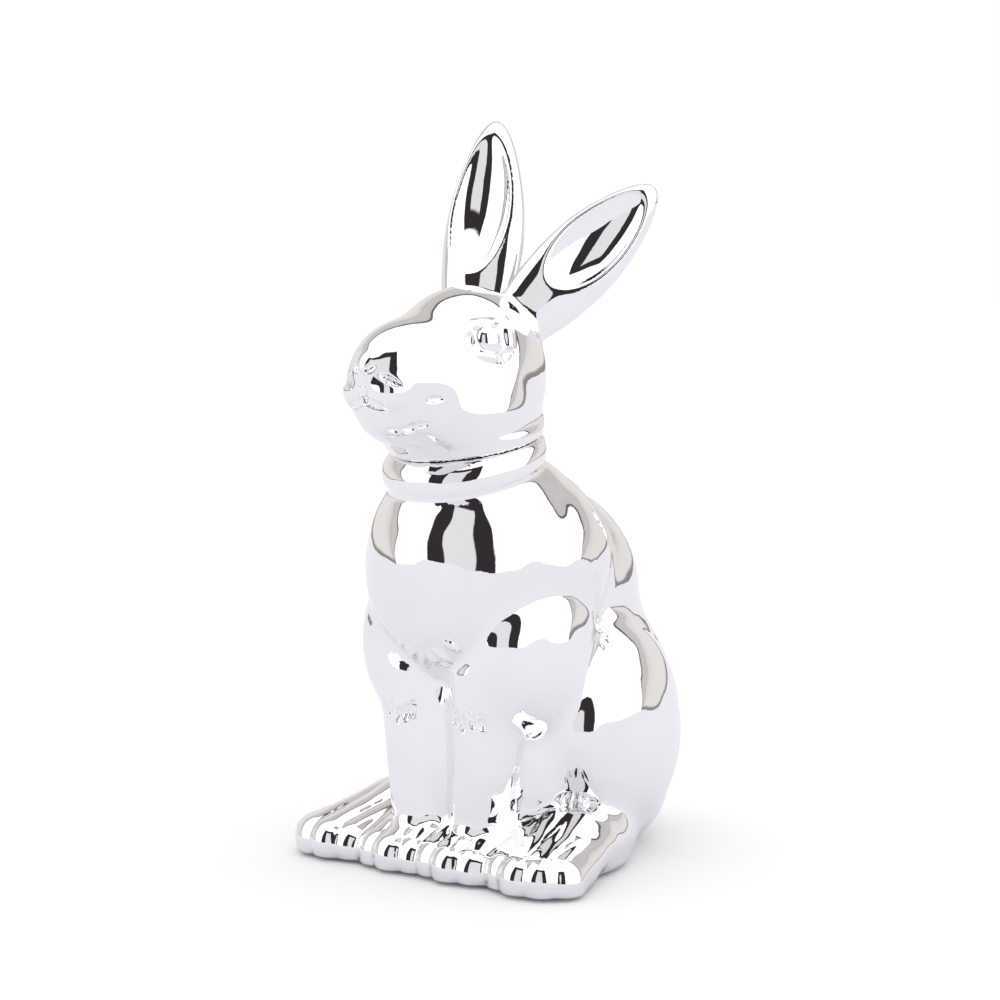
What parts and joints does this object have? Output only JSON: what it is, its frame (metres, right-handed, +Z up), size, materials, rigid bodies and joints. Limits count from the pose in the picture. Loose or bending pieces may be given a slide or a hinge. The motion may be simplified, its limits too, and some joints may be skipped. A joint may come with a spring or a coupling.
{
  "type": "lidded rabbit jar",
  "caption": "Sitting rabbit figure in mirror-silver ceramic whose head lifts off at the neck as a lid, with a hollow body, a lid seal and floor pads.",
  "frame": {"origin": "centre of the overall box at the floor, under the pads", "axes": "+Z up, the rabbit faces -Y and its left side is +X"},
  "size_m": [0.1406, 0.186, 0.3081],
  "materials": {
    "silvered_body": "electroplated mirror silver over smooth glaze",
    "silvered_head": "electroplated mirror silver over smooth glaze",
    "seal_silicone": "matt translucent silicone",
    "pad_felt": "dense felt"
  },
  "bodies": {
    "jar": {"jar_body": "silvered_body", "pad_front_left": "pad_felt", "pad_front_right": "pad_felt", "pad_rear_left": "pad_felt", "pad_rear_right": "pad_felt"},
    "seal": {"lid_seal": "seal_silicone"},
    "head": {"head_lid": "silvered_head"}
  },
  "joints": [
    {"name": "head_lift", "type": "slide", "parent": "jar", "child": "seal", "axis": [0, -0.1908, 0.9816], "range_m": [0, 0.12]},
    {"name": "head_turn", "type": "hinge", "parent": "seal", "child": "head", "pos_m": [0, -0.028, 0.174], "axis": [0, -0.1908, 0.9816], "continuous": true}
  ]
}
